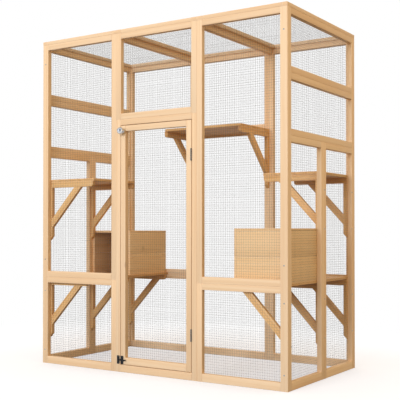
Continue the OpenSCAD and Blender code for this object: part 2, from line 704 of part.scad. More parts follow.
// Barrel bolt: a plate with two straps on the door, a rod with a handle, and a keeper on the jamb.
module strap(x) {
    axis_y = -rod_r - side_fit;
    translate([x, bolt_face_y, bolt_z]) rotate([90, 0, 90])
        linear_extrude(height = strap_w)
            difference() {
                union() {
                    translate([axis_y, 0]) circle(r = rod_r + strap_wall);
                    translate([axis_y, -rod_r - strap_wall])
                        square([-axis_y, 2 * (rod_r + strap_wall)]);
                    translate([-strap_wall, -strap_h / 2]) square([strap_wall, strap_h]);
                }
                translate([axis_y, 0]) circle(r = rod_r + running_fit);
            }
}
module latch_plate(x, w)
    translate([x, bolt_face_y, bolt_z - bolt_plate_h / 2]) cube([w, bolt_plate_t, bolt_plate_h]);
module bolt_plate() black_color() {
    latch_plate(bolt_plate_x, bolt_plate_w);
    strap(front_strap_x);
    strap(rear_strap_x);
}
module bolt_keeper() black_color() {
    latch_plate(keeper_x, keeper_w);
    strap(keeper_strap_x);
}
module bolt_rod() black_color() translate([0, bolt_y, bolt_z]) {
    translate([rod_tip_x, 0, 0]) rotate([0, 90, 0])
        cylinder(h = handle_x + handle_r - rod_tip_x, r = rod_r);
    translate([handle_x, 0, 0]) rotate([90, 0, 0]) cylinder(h = handle_l, r = handle_r);
}

placed() post_front_left();
placed() post_front_right();
placed() post_rear_left();
placed() post_rear_right();
placed() front_left_lower_frame();
placed() front_left_upper_frame();
placed() front_right_lower_frame();
placed() front_right_upper_frame();
placed() door_surround();
placed() over_door_frame();
placed() left_front_lower_frame();
placed() left_rear_lower_frame();
placed() left_middle_frame();
placed() left_top_frame();
placed() right_front_lower_frame();
placed() right_rear_lower_frame();
placed() right_middle_frame();
placed() right_top_frame();
placed() back_left_frames();
placed() back_middle_frames();
placed() back_right_frames();
placed() roof_left_frame();
placed() roof_middle_frame();
placed() roof_right_frame();
placed() roof_beams();
placed() front_left_net();
placed() front_right_net();
placed() over_door_net();
placed() left_net();
placed() right_net();
placed() back_net();
placed() roof_net();
placed() left_platform();
placed() right_platform();
placed() left_upper_shelf();
placed() right_upper_shelf();
placed() back_shelf();
placed() left_platform_brackets();
placed() right_platform_brackets();
placed() left_upper_brackets();
placed() right_upper_brackets();
placed() back_shelf_brackets();
placed() left_box_walls();
placed() left_box_roof();
placed() right_box_walls();
placed() right_box_roof();
placed() wall_screws();
placed() door_frame();
placed() door_net();
placed() hinge_jamb_leaves();
placed() hinge_door_leaves();
placed() hinge_pins();
placed() knob_rose();
placed() door_knob();
placed() latch_tongue();
placed() bolt_plate();
placed() bolt_rod();
placed() bolt_keeper();
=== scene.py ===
# %% [markdown]
# # A walk-in cat house of softwood and wire mesh
# The imported model already holds every timber, net and fitting of the cat house at its true place,
# in metres. This lesson turns that frame into a picture: each timber gets the figure of real
# softwood along its own grain, each coarse net becomes welded wire mesh, and the screws, hinges,
# knob and bolt are modelled as the small metal goods that they are. The first cell loads the frame.
# Nothing that is added may reach outside it.

# %% Load the imported frame
import json
import math
import random

import bpy
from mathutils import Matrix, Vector


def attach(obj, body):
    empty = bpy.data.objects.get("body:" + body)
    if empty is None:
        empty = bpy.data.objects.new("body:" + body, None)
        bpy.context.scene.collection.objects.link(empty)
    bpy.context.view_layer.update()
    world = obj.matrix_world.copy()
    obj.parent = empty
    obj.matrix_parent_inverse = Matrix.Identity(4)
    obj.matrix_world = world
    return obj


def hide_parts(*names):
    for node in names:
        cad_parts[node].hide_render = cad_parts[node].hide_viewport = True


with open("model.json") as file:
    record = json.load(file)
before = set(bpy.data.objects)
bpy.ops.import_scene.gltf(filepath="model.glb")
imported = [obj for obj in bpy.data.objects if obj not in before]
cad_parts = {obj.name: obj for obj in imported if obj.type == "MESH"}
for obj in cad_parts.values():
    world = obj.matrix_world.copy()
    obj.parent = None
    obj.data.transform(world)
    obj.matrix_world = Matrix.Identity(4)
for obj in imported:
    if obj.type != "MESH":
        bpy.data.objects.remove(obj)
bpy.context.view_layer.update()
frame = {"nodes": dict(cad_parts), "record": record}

MM = 0.001
NODES = frame["nodes"]
RECORD = frame["record"]
BODY_OF = {node: body for body, nodes in RECORD["behaviour"]["bodies"].items() for node in nodes}
SLOT_OF = {part["node"]: part["material_slot"] for part in RECORD["subparts"]}

# %% [markdown]
# ## The camera
# The photograph was taken from the right of the door, a little below half height, with the camera
# level enough that the posts stay upright. Its place was found by fitting a camera to the straight
# edges of the cabin. A small vertical shift keeps the posts upright and still frames the roof, as
# a photographer would do with a shift lens.

# %% Camera at the photograph's viewpoint
CAMERA_PLACE = (2.48048, -3.73542, 0.7504)
CAMERA_PITCH, CAMERA_HEADING = math.radians(90.67), math.radians(33.15)
SENSOR_WIDTH, LENS_LENGTH, SHIFT_UP = 36.0, 73.44, 0.0479
VIEW_END = 60.0

camera_data = bpy.data.cameras.new("view_camera")
camera_data.sensor_width = SENSOR_WIDTH
camera_data.lens = LENS_LENGTH
camera_data.shift_y = SHIFT_UP
camera_data.clip_end = VIEW_END
camera = bpy.data.objects.new("view_camera", camera_data)
camera.location = CAMERA_PLACE
camera.rotation_euler = (CAMERA_PITCH, 0.0, CAMERA_HEADING)
bpy.context.collection.objects.link(camera)
bpy.context.scene.camera = camera
print("camera:", tuple(round(v, 3) for v in camera.location), "lens", camera_data.lens, "mm")

# %% [markdown]
# ## Light, floor and backdrop
# The cabin stands in an even white studio. A large soft lamp nearly straight in front, a little
# above it, lights the front from far off, so the back is lit nearly as well. A weak warm one on
# the right keeps the side walls readable, and the surroundings fill the rest. The lamps are set so
# that a colour renders about as it is written. The white behind the cabin isn't made by more
# light: camera, mirror and glass rays simply see a surrounding of strength 1, while the light that
# falls on the timber comes from a dimmer one.
#
# The floor glows for those rays too. Near the cabin the glow is weak and a little blue, which
# evens out the warm light there. Under and around the cabin it is weakest, a painted shade that
# deepens the cabin's soft shadow, which the floor keeps as well. Farther out its own colour fades
# while the glow rises to 1, so it runs into the white and is never brighter than it: behind a floor
# that is, the thin wires would vanish. The floor throws little light back up, so the undersides of
# shelves and rails stay as dark as under a real lamp from above.
#
# A dark card stands in front, as a photographer sets one up for polished metal. Only mirror rays
# see it, and it gives the knob its dark streak.

# %% Helpers that lay down and join shader nodes
def put(tree, kind, inputs=None, **settings):
    node = tree.nodes.new(kind)
    for name, value in settings.items():
        setattr(node, name, value)
    for name, value in (inputs or {}).items():
        if isinstance(value, bpy.types.NodeSocket):
            tree.links.new(value, node.inputs[name])
        else:
            node.inputs[name].default_value = value
    return node


def calc(tree, operation, *values):
    return put(tree, "ShaderNodeMath", dict(enumerate(values)), operation=operation).outputs[0]


def calc_vector(tree, operation, *values):
    node = put(tree, "ShaderNodeVectorMath", dict(enumerate(values)), operation=operation)
    return node.outputs["Value" if operation == "LENGTH" else "Vector"]


print("node helpers:", [helper.__name__ for helper in (put, calc, calc_vector)])

# %% Helpers for ramps and colours
WHITE, BLACK = (1.0, 1.0, 1.0, 1.0), (0.0, 0.0, 0.0, 1.0)


def step_between(tree, value, start, end, low=0.0, high=1.0):
    ends = {"Value": value, "From Min": start, "From Max": end, "To Min": low, "To Max": high}
    return put(tree, "ShaderNodeMapRange", ends, interpolation_type="SMOOTHSTEP").outputs[0]


def mix_color(tree, amount, low, high, how="MIX"):
    # A Mix node has sockets for each kind of data; 6, 7 and output 2 are those of colours.
    ends = {0: amount, 6: low, 7: high}
    return put(tree, "ShaderNodeMix", ends, data_type="RGBA", blend_type=how).outputs[2]


def paint(red, green, blue):
    # Colours are written as a screen shows them, and shaders want them in linear light.
    shares = [v / 255 for v in (red, green, blue)]
    return (*[((v + 0.055) / 1.055) ** 2.4 if v > 0.04045 else v / 12.92 for v in shares], 1.0)


print("half grey in linear light:", round(paint(128, 128, 128)[0], 3))

# %% Helpers for surroundings and materials
def seen_directly(tree):
    rays = put(tree, "ShaderNodeLightPath").outputs
    mirror_or_glass = calc(tree, "MAXIMUM", rays["Is Glossy Ray"], rays["Is Transmission Ray"])
    return calc(tree, "MAXIMUM", rays["Is Camera Ray"], mirror_or_glass)


def empty_material(name):
    material = bpy.data.materials.new(name)
    material.use_nodes = True
    material.node_tree.nodes.clear()
    return material, material.node_tree


print("material helpers:", [helper.__name__ for helper in (seen_directly, empty_material)])

# %% White surroundings
FILL_LEVEL, FILL_COLOR = 0.88, (1.0, 0.79, 0.54, 1.0)

world = bpy.data.worlds.new("studio")
world.use_nodes = True
tree = world.node_tree
tree.nodes.clear()
seen = put(tree, "ShaderNodeBackground", {"Color": WHITE, "Strength": 1.0}).outputs[0]
fill = put(tree, "ShaderNodeBackground", {"Color": FILL_COLOR, "Strength": FILL_LEVEL}).outputs[0]
either = put(tree, "ShaderNodeMixShader", {0: seen_directly(tree), 1: fill, 2: seen})
put(tree, "ShaderNodeOutputWorld", {"Surface": either.outputs[0]})
bpy.context.scene.world = world
bpy.context.scene.view_settings.view_transform = "Standard"
print("world: fill level", FILL_LEVEL)

# %% Soft lamps
CABIN_MIDDLE = (0.0, 0.0, 0.9)
COOL_LIGHT, WARM_LIGHT = (0.85, 0.99, 1.27), (1.0, 0.66, 0.3)


def turn_to_cabin(place, axis):
    return (Vector(CABIN_MIDDLE) - Vector(place)).to_track_quat(axis, "Y").to_euler()


def soft_lamp(name, place, width, power, color):
    data = bpy.data.lights.new(name, "AREA")
    data.shape = "SQUARE"
    data.size = width
    data.energy = power
    data.color = color
    lamp = bpy.data.objects.new(name, data)
    lamp.location = place
    lamp.rotation_euler = turn_to_cabin(place, "-Z")
    lamp.visible_camera = False
    bpy.context.collection.objects.link(lamp)


soft_lamp("front_lamp", place=(-0.6, -14.0, 3.9), width=6.8, power=1160.0, color=COOL_LIGHT)
soft_lamp("side_lamp", place=(6.0, -0.6, 1.9), width=3.2, power=21.0, color=WARM_LIGHT)

# %% Floor
FLOOR_WIDTH, FLOOR_DROP = 24.0, 0.2 * MM
CALM_HALF = (0.6, 0.25, 0.0)
GLOW_START, COLOR_END, FADE_END, GLOW_END = 0.02, 0.3, 1.8, 1.5
# The least glow lies under the cabin: a painted shade on the floor there.
PAINTED_SHADE_GLOW, NEAR_GLOW, FULL_GLOW = 0.5, 0.66, 1.0
SHOWN_FLOOR, BOUNCE_FLOOR = (0.62, 0.565, 0.51, 1.0), (0.16, 0.144, 0.128, 1.0)
COOL_GLOW = (0.75, 0.875, 1.0, 1.0)


def deselect():
    bpy.ops.object.select_all(action="DESELECT")


def flat_sheet(name, width, place):
    deselect()
    bpy.ops.mesh.primitive_plane_add(size=width, location=place)
    sheet = bpy.context.active_object
    sheet.name = name
    return sheet


floor = flat_sheet("studio_floor", FLOOR_WIDTH, (0.0, 0.0, -FLOOR_DROP))
floor_material, tree = empty_material("studio_floor")
shown = seen_directly(tree)
place = calc_vector(tree, "ABSOLUTE", put(tree, "ShaderNodeTexCoord").outputs["Object"])
beyond = calc_vector(tree, "SUBTRACT", place, CALM_HALF)
away = calc_vector(tree, "LENGTH", calc_vector(tree, "MAXIMUM", beyond, (0.0, 0.0, 0.0)))
far = calc(tree, "MULTIPLY", shown, step_between(tree, away, COLOR_END, FADE_END))
near_color = mix_color(tree, shown, BOUNCE_FLOOR, SHOWN_FLOOR)
matt = put(tree, "ShaderNodeBsdfDiffuse", {"Color": mix_color(tree, far, near_color, BLACK)})
# Painted shade: the glow is weakest within the cabin's footprint, so the floor under it is darker.
near_glow_with_painted_shade = step_between(tree, away, GLOW_START, COLOR_END, PAINTED_SHADE_GLOW, NEAR_GLOW)
far_glow = step_between(tree, away, COLOR_END, GLOW_END, 0.0, FULL_GLOW - NEAR_GLOW)
glow_level = calc(tree, "MULTIPLY", shown, calc(tree, "ADD", near_glow_with_painted_shade, far_glow))
glow_color = mix_color(tree, far, COOL_GLOW, WHITE)
glow = put(tree, "ShaderNodeEmission", {"Color": glow_color, "Strength": glow_level})
both = put(tree, "ShaderNodeAddShader", {0: matt.outputs[0], 1: glow.outputs[0]})
put(tree, "ShaderNodeOutputMaterial", {"Surface": both.outputs[0]})
floor.data.materials.append(floor_material)
print("floor:", tuple(floor.dimensions))

# %% Dark card for the polished metal
CARD_PLACE = (0.5, -4.0, 1.6)
CARD_WIDTH, CARD_HEIGHT = 3.168, 6.24
CARD_COLOR, CARD_ROUGHNESS = (0.02, 0.02, 0.022, 1.0), 0.9

card = flat_sheet("dark_card", 1.0, CARD_PLACE)
card.scale = (CARD_WIDTH, CARD_HEIGHT, 1.0)
card.rotation_euler = turn_to_cabin(CARD_PLACE, "Z")
card_material, tree = empty_material("dark_card")
black_felt = {"Base Color": CARD_COLOR, "Roughness": CARD_ROUGHNESS}
shader = put(tree, "ShaderNodeBsdfPrincipled", black_felt)
put(tree, "ShaderNodeOutputMaterial", {"Surface": shader.outputs[0]})
card.data.materials.append(card_material)
for ray in ("camera", "diffuse", "transmission", "shadow"):
    setattr(card, "visible_" + ray, False)
print("card:", card.name, CARD_PLACE)

# %% [markdown]
# ## The figure of softwood
# Planed pine is pale, with a quiet stripe. The stripe is the tree's yearly rings: a board is a
# slice through nested cylinders, so its faces show lines or arches and its ends show arcs. The
# pattern is therefore calculated in the space of a log: each point of a timber knows how far
# along the log it is and where it lies around the pith. The distance from the pith, bent a little
# by slow noise, gives the rings. Knots are small balls scattered in the log that darken the wood
# and push the rings aside. All woods here share these effects, so they are one node group.

# %% Measures of the figure, and helpers for node groups
KNOT_CELLS = (2.6, 12.0, 12.0)
KNOT_SCATTER = 0.9
KNOT_LEAST, KNOT_MOST, KNOT_PUSH = 4.0 * MM, 9.0 * MM, 5.0 * MM
KNOT_RIM, HALO_RIM = (1.0, 0.7), (3.4, 0.6)
BEND_RATE, BEND_DEPTH = (1.1, 9.0, 9.0), 14.0 * MM
RING_SHARPNESS = 2.5
STREAKS_ACROSS, STREAKS_ALONG = 105.0, 0.9
FIBRE_RATE = (35.0, 1500.0, 1500.0)


def start_group(name, inputs, outputs):
    group = bpy.data.node_groups.new(name, "ShaderNodeTree")
    for label, kind in inputs:
        group.interface.new_socket(label, in_out="INPUT", socket_type="NodeSocket" + kind)
    for label in outputs:
        group.interface.new_socket(label, in_out="OUTPUT", socket_type="NodeSocketFloat")
    return group, put(group, "NodeGroupInput").outputs


def noise(tree, place, detail, scale=1.0):
    inputs = {"Vector": place, "Scale": scale, "Detail": detail}
    return put(tree, "ShaderNodeTexNoise", inputs).outputs["Fac"]


print("ring sharpness", RING_SHARPNESS, "and", STREAKS_ACROSS, "streaks in a metre")

# %% Node group: rings, streaks, fibres and knots
def knots_in_log(group, place, knot_share):
    cells = calc_vector(group, "MULTIPLY", place, KNOT_CELLS)
    balls = {"Vector": cells, "Scale": 1.0, "Randomness": KNOT_SCATTER}
    knot = put(group, "ShaderNodeTexVoronoi", balls)
    offset = calc_vector(group, "SUBTRACT", cells, knot.outputs["Position"])
    away = calc_vector(group, "LENGTH", calc_vector(group, "DIVIDE", offset, KNOT_CELLS))
    chance = put(group, "ShaderNodeSeparateColor", {"Color": knot.outputs["Color"]}).outputs
    present = calc(group, "LESS_THAN", chance[0], knot_share)
    radius = step_between(group, chance[1], 0.0, 1.0, KNOT_LEAST, KNOT_MOST)
    radii_away = calc(group, "DIVIDE", away, radius)
    inside = step_between(group, radii_away, *KNOT_RIM)
    around = step_between(group, radii_away, *HALO_RIM)
    return calc(group, "MULTIPLY", inside, present), calc(group, "MULTIPLY", around, present)


def softwood_figure():
    group, given = start_group(
        "softwood_figure",
        [("Log Place", "Vector"), ("Ring Width", "Float"), ("Knot Share", "Float")],
        ["Rings", "Streak", "Fibre", "Knot", "Halo"])
    place = given["Log Place"]
    knot_mask, halo_mask = knots_in_log(group, place, given["Knot Share"])

    bend = noise(group, calc_vector(group, "MULTIPLY", place, BEND_RATE), detail=2.0)
    along, side, high = put(group, "ShaderNodeSeparateXYZ", {"Vector": place}).outputs
    pith = calc(group, "SQRT", calc(group, "ADD", calc(group, "MULTIPLY", side, side),
                                    calc(group, "MULTIPLY", high, high)))
    bent = calc(group, "MULTIPLY_ADD", calc(group, "SUBTRACT", bend, 0.5), BEND_DEPTH, pith)
    bent = calc(group, "MULTIPLY_ADD", halo_mask, KNOT_PUSH, bent)
    turns = calc(group, "DIVIDE", bent, given["Ring Width"])
    rings = calc(group, "POWER", calc(group, "FRACT", turns), RING_SHARPNESS)

    bands = {0: calc(group, "MULTIPLY", bent, STREAKS_ACROSS),
             1: calc(group, "MULTIPLY", along, STREAKS_ALONG), 2: 0.0}
    streak = noise(group, put(group, "ShaderNodeCombineXYZ", bands).outputs[0], detail=3.0)
    fibre = noise(group, calc_vector(group, "MULTIPLY", place, FIBRE_RATE), detail=2.0)
    put(group, "NodeGroupOutput", {"Rings": rings, "Streak": streak, "Fibre": fibre,
                                   "Knot": knot_mask, "Halo": halo_mask})
    return group


FIGURE = softwood_figure()
print("group:", FIGURE.name, [s.name for s in FIGURE.interface.items_tree if s.in_out == "OUTPUT"])

# %% [markdown]
# ## Edges and ends
# A handled timber is a little darker and drier where it was cut across, because end grain drinks
# the oil. Its long edges are a little paler: a painted highlight, where eased arrises catch light.
# Each timber carries its own middle and half size, so the distance to the nearest edge is the
# middle one of three distances to its faces, and the distance to the nearer end is the first.

# %% Node group: edge and end masks
EDGE_FADE, END_FADE = (3.0 * MM, 0.5 * MM), (2.5 * MM, 0.2 * MM)


def timber_edges():
    group, given = start_group(
        "timber_edges", [("From Middle", "Vector"), ("Half Size", "Vector")], ["Edge", "End"])
    outward = calc_vector(group, "ABSOLUTE", given["From Middle"])
    inward = calc_vector(group, "SUBTRACT", given["Half Size"], outward)
    to_end, to_side, to_top = put(group, "ShaderNodeSeparateXYZ", {"Vector": inward}).outputs
    low = calc(group, "MINIMUM", to_side, to_top)
    high = calc(group, "MAXIMUM", to_side, to_top)
    nearest_edge = calc(group, "MAXIMUM", low, calc(group, "MINIMUM", high, to_end))
    put(group, "NodeGroupOutput", {"Edge": step_between(group, nearest_edge, *EDGE_FADE),
                                   "End": step_between(group, to_end, *END_FADE)})
    return group


EDGES = timber_edges()
print("group:", EDGES.name)

# %% Helpers for every surface with worn edges
def attribute(tree, name):
    return put(tree, "ShaderNodeAttribute", attribute_name=name).outputs


def edge_masks(tree):
    masks = put(tree, "ShaderNodeGroup", node_tree=EDGES)
    tree.links.new(attribute(tree, "from_middle")["Vector"], masks.inputs["From Middle"])
    tree.links.new(attribute(tree, "half_size")["Vector"], masks.inputs["Half Size"])
    return masks.outputs


def finish_surface(tree, relief, depth, height, inputs):
    bump = put(tree, "ShaderNodeBump", {"Strength": relief, "Distance": depth, "Height": height})
    shader = put(tree, "ShaderNodeBsdfPrincipled", {**inputs, "Normal": bump.outputs[0]})
    put(tree, "ShaderNodeOutputMaterial", {"Surface": shader.outputs[0]})


print("surface helpers:", [helper.__name__ for helper in (attribute, edge_masks, finish_surface)])

# %% Material: planed softwood
RING_WIDTH = 3.2 * MM
RING_SHARE, FIBRE_SHARE = 0.35, 0.35
STREAK_SPAN, INNER_PAINTED_SHADE_SPAN = (0.3, 0.75), (0.9, 0.99)
# The inner shade here is painted shade on the inside faces of the sleeping boxes.
HALO_SHADE, KNOT_SHADE, INNER_PAINTED_SHADE, END_SHADE, EDGE_PAINTED_HIGHLIGHT = 0.45, 0.85, 0.42, 0.12, 0.10
# The pale edge colour is a painted highlight for the long edges of the timbers.
PAINTED_HIGHLIGHT_COLOR = (1.0, 0.94, 0.82, 1.0)
PLANED_ROUGHNESS, FIBRE_ROUGHNESS, END_ROUGHNESS = 0.46, 0.18, 0.2
GRAIN_RELIEF, GRAIN_DEPTH = 0.35, 0.15 * MM
WOOD_SHINE = 0.2


def softwood(name, early, late, knot, knot_share, stripe):
    material, tree = empty_material(name)
    figure = put(tree, "ShaderNodeGroup", node_tree=FIGURE)
    tree.links.new(attribute(tree, "log_place")["Vector"], figure.inputs["Log Place"])
    figure.inputs["Ring Width"].default_value = RING_WIDTH
    figure.inputs["Knot Share"].default_value = knot_share
    out = figure.outputs
    masks = edge_masks(tree)

    streak = step_between(tree, out["Streak"], *STREAK_SPAN, 0.0, stripe)
    fibre = calc(tree, "SUBTRACT", out["Fibre"], 0.5)
    amount = calc(tree, "MULTIPLY_ADD", out["Rings"], RING_SHARE * stripe, streak)
    amount = calc(tree, "MULTIPLY_ADD", fibre, FIBRE_SHARE * stripe, amount)
    amount = calc(tree, "ADD", amount, attribute(tree, "tone")["Fac"])
    # Painted shade: the marked inside faces of a sleeping box are mixed toward the dark knot colour.
    inner = step_between(tree, attribute(tree, "inner_painted_shade")["Fac"], *INNER_PAINTED_SHADE_SPAN, 0.0, INNER_PAINTED_SHADE)

    wood = mix_color(tree, amount, early, late)
    wood = mix_color(tree, calc(tree, "MULTIPLY", out["Halo"], HALO_SHADE), wood, knot)
    wood = mix_color(tree, calc(tree, "MULTIPLY", out["Knot"], KNOT_SHADE), wood, knot)
    wood = mix_color(tree, inner, wood, knot)
    wood = mix_color(tree, calc(tree, "MULTIPLY", masks["End"], END_SHADE), wood, late, "MULTIPLY")
    # Painted highlight: the long edges are mixed toward a pale colour, as if eased arrises caught
    # the light.
    wood = mix_color(tree, calc(tree, "MULTIPLY", masks["Edge"], EDGE_PAINTED_HIGHLIGHT), wood, PAINTED_HIGHLIGHT_COLOR)

    rough = calc(tree, "MULTIPLY_ADD", out["Fibre"], FIBRE_ROUGHNESS, PLANED_ROUGHNESS)
    rough = calc(tree, "MULTIPLY_ADD", masks["End"], END_ROUGHNESS, rough)
    height = calc(tree, "MULTIPLY", calc(tree, "ADD", out["Rings"], out["Fibre"]), 0.5)
    finish_surface(tree, GRAIN_RELIEF, GRAIN_DEPTH, height,
                   {"Base Color": wood, "Roughness": rough, "Specular IOR Level": WOOD_SHINE})
    return material


print("ring width:", RING_WIDTH / MM, "mm")

# %% Three tones of softwood
WOODS = {
    "frame_wood": softwood(
        "planed_frame_pine", early=paint(245, 216, 175), late=paint(228, 186, 135),
        knot=paint(132, 84, 46), knot_share=0.10, stripe=0.5),
    # The shelf pine is darker and more saturated than the frame pine: partly painted shade, as the
    # shelves sit inside the cabin, and partly its own stronger stripe and more knots.
    "shelf_wood": softwood(
        "shelf_pine_with_painted_shade", early=paint(239, 197, 136), late=paint(210, 158, 94),
        knot=paint(112, 70, 36), knot_share=0.14, stripe=0.65),
    "box_wood": softwood(
        "smooth_box_pine", early=paint(249, 217, 167), late=paint(230, 183, 122),
        knot=paint(122, 76, 40), knot_share=0.05, stripe=0.4),
}
print("woods:", {slot: material.name for slot, material in WOODS.items()})

# %% [markdown]
# ## The timbers
# A frame in the imported model is one node with several timbers, all loose triangles. To give each
# timber its own grain, a copy of the node is merged, cleared of the triangles' diagonals and
# parted into single timbers. The longest edge of a timber is the way it was sawn from the log, so
# that is its grain; its largest face tells which way is through the board. Those directions, with
# a chance place in a log, are stored on the mesh as attributes, where the wood material reads
# them. A small bevel then rounds the arrises as a pass with fine paper does, and the timbers of
# one node are joined again. Copying keeps every size as it was drawn.
#
# The inside of a sleeping box is darker than its outside, a painted shade for the light its walls
# keep out: the corners of its boards that lie toward the middle of the box are marked, and the
# wood material reads that mark too.

# %% Helpers that choose, shape and join objects
def work_on(*pieces):
    deselect()
    for piece in pieces:
        piece.select_set(True)
    bpy.context.view_layer.objects.active = pieces[0]


def new_object(name, mesh):
    piece = bpy.data.objects.new(name, mesh)
    bpy.context.collection.objects.link(piece)
    return piece


def fix_in_mesh():
    bpy.ops.object.transform_apply(location=True, rotation=True, scale=True)


def apply_modifier(piece, kind, **settings):
    work_on(piece)
    modifier = piece.modifiers.new(kind.lower(), kind)
    for name, value in settings.items():
        setattr(modifier, name, value)
    bpy.ops.object.modifier_apply(modifier=modifier.name)


def soften(piece, width, sharper_than=40):
    apply_modifier(piece, "BEVEL", width=width, segments=2, limit_method="ANGLE",
                   angle_limit=math.radians(sharper_than))


def join_pieces(pieces, name):
    work_on(*pieces)
    if len(pieces) > 1:
        bpy.ops.object.join()
    pieces[0].name = name
    pieces[0].data.name = name
    return pieces[0]


def shade_smooth(piece, up_to):
    work_on(piece)
    bpy.ops.object.shade_smooth_by_angle(angle=math.radians(up_to))


print("modelling helpers:", [helper.__name__ for helper in (apply_modifier, soften, join_pieces)])

# %% Helpers that measure a mesh
def extent(mesh, directions=((1, 0, 0), (0, 1, 0), (0, 0, 1))):
    spans = []
    for direction in directions:
        along = [vertex.co.dot(Vector(direction)) for vertex in mesh.vertices]
        spans.append((min(along), max(along)))
    return spans


def middle_and_half(spans):
    return [(low + high) / 2 for low, high in spans], [(high - low) / 2 for low, high in spans]


def print_size(piece):
    print(piece.name, [[round(v / MM, 1) for v in span] for span in extent(piece.data)], "mm")


print_size(NODES["door_frame"])

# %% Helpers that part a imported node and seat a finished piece
MERGE_WITHIN, FLAT_WITHIN = 0.02 * MM, math.radians(0.5)


def merged_parts(node):
    copy = new_object(node + "_part", NODES[node].data.copy())
    copy.data.materials.clear()
    work_on(copy)
    bpy.ops.mesh.customdata_custom_splitnormals_clear()
    bpy.ops.object.mode_set(mode="EDIT")
    bpy.ops.mesh.select_all(action="SELECT")
    bpy.ops.mesh.remove_doubles(threshold=MERGE_WITHIN)
    bpy.ops.mesh.dissolve_limited(angle_limit=FLAT_WITHIN)
    bpy.ops.mesh.separate(type="LOOSE")
    bpy.ops.object.mode_set(mode="OBJECT")
    return list(bpy.context.selected_objects)


def seat_piece(piece, material, node):
    work_on(piece)
    fix_in_mesh()
    piece.data.materials.clear()
    piece.data.materials.append(material)
    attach(piece, BODY_OF[node])
    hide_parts(node)


print("parts closer than", MERGE_WITHIN / MM, "mm are merged")

# %% Grain of one timber
def edge_vector(mesh, edge):
    start, end = (mesh.vertices[index].co for index in edge.vertices)
    return start - end


def grain_directions(mesh):
    longest = max(mesh.edges, key=lambda edge: edge_vector(mesh, edge).length)
    along = edge_vector(mesh, longest).normalized()
    if max(along, key=abs) < 0:
        along.negate()
    face = max(mesh.polygons, key=lambda polygon: polygon.area)
    through = (face.normal - along * face.normal.dot(along)).normalized()
    return along, through.cross(along), through


print("grain helpers:", [helper.__name__ for helper in (edge_vector, grain_directions)])

# %% Marks stored on a timber
PITH_NEAR, PITH_FAR = 45 * MM, 130 * MM
LOG_LENGTH = 60.0
TONE_SPREAD = 0.12


def store_vectors(mesh, layers):
    for name, values in layers.items():
        mesh.attributes.new(name, "FLOAT_VECTOR", "POINT").data.foreach_set("vector", values)


def store_values(mesh, name, values):
    mesh.attributes.new(name, "FLOAT", "POINT").data.foreach_set("value", values)


def store_grain(mesh):
    directions = grain_directions(mesh)
    middle, half = middle_and_half(extent(mesh, directions))
    draw = random.Random(str([round(v, 3) for v in middle + half]))
    angle = draw.uniform(0.0, math.tau)
    reach = draw.uniform(PITH_NEAR, PITH_FAR)
    start = (draw.uniform(0.0, LOG_LENGTH), reach * math.cos(angle), reach * math.sin(angle))
    tone = draw.uniform(-TONE_SPREAD, TONE_SPREAD)
    layers = {"log_place": [], "from_middle": [], "half_size": []}
    for vertex in mesh.vertices:
        place = [vertex.co.dot(direction) - m for direction, m in zip(directions, middle)]
        layers["from_middle"] += place
        layers["log_place"] += [p + s for p, s in zip(place, start)]
        layers["half_size"] += half
    store_vectors(mesh, layers)
    store_values(mesh, "tone", [tone] * len(mesh.vertices))


# Marks the faces of a board that look into its box, where the wood gets painted shade.
def mark_inner_face(mesh, box_middle):
    middle, half = middle_and_half(extent(mesh))
    thin = half.index(min(half))
    inward = box_middle[thin] - middle[thin]
    marks = [float((vertex.co[thin] - middle[thin]) * inward > 0.0) for vertex in mesh.vertices]
    store_values(mesh, "inner_painted_shade", marks)


print("the pith lies", PITH_NEAR / MM, "to", PITH_FAR / MM, "mm from the middle of a board")

# %% Dress every wooden node
ARRIS = 0.5 * MM


def dress_timber(node):
    timbers = merged_parts(node)
    for timber in timbers:
        store_grain(timber.data)
        # The inside faces of a sleeping box are marked for painted shade.
        if SLOT_OF[node] == "box_wood":
            walls = NODES[node.replace("_roof", "_walls")].data
            mark_inner_face(timber.data, middle_and_half(extent(walls))[0])
    piece = join_pieces(timbers, node + "_timber")
    soften(piece, ARRIS, sharper_than=30)
    shade_smooth(piece, up_to=35)
    seat_piece(piece, WOODS[SLOT_OF[node]], node)
    return len(timbers)


wooden = [node for node in sorted(NODES) if SLOT_OF[node] in WOODS]
counts = {node: dress_timber(node) for node in wooden}
print("timbers:", sum(counts.values()), "in", len(counts), "nodes")

# %% [markdown]
# ## The skin of small metal goods
# Zinc, steel and chrome are never one even colour. Galvanising leaves paler and darker patches,
# handling leaves fine scuffs that catch the light, and dust settles in specks. The metals here
# differ only in how much of each they show, so the three patterns are one node group, and each
# material mixes them with its own colours. Sharp edges wear first; the edge mask of the timbers
# serves the metal pieces too, because they carry the same two attributes. The wires carry none and
# so count as edge all over, which suits them: a thin wire is rubbed on every side.

# %% Node group: patches, scuffs and specks
SCUFF_TURN, SCUFF_RATE = (0.4, 0.7, 0.2), (120.0, 1400.0, 1400.0)
SPECK_RATE = 1500.0
PATCH_SPAN, SCUFF_SPAN, SPECK_SPAN = (0.35, 0.65), (0.5, 0.75), (0.6, 0.72)


def metal_skin():
    group, given = start_group(
        "metal_skin", [("Place", "Vector"), ("Patch Rate", "Float")],
        ["Patches", "Scuffs", "Specks"])
    place = given["Place"]
    slanted = put(group, "ShaderNodeMapping",
                  {"Vector": place, "Rotation": SCUFF_TURN, "Scale": SCUFF_RATE}).outputs[0]
    patches = noise(group, place, detail=3.0, scale=given["Patch Rate"])
    scuffs = noise(group, slanted, detail=2.0)
    specks = noise(group, place, detail=1.0, scale=SPECK_RATE)
    put(group, "NodeGroupOutput", {"Patches": step_between(group, patches, *PATCH_SPAN),
                                   "Scuffs": step_between(group, scuffs, *SCUFF_SPAN),
                                   "Specks": step_between(group, specks, *SPECK_SPAN)})
    return group


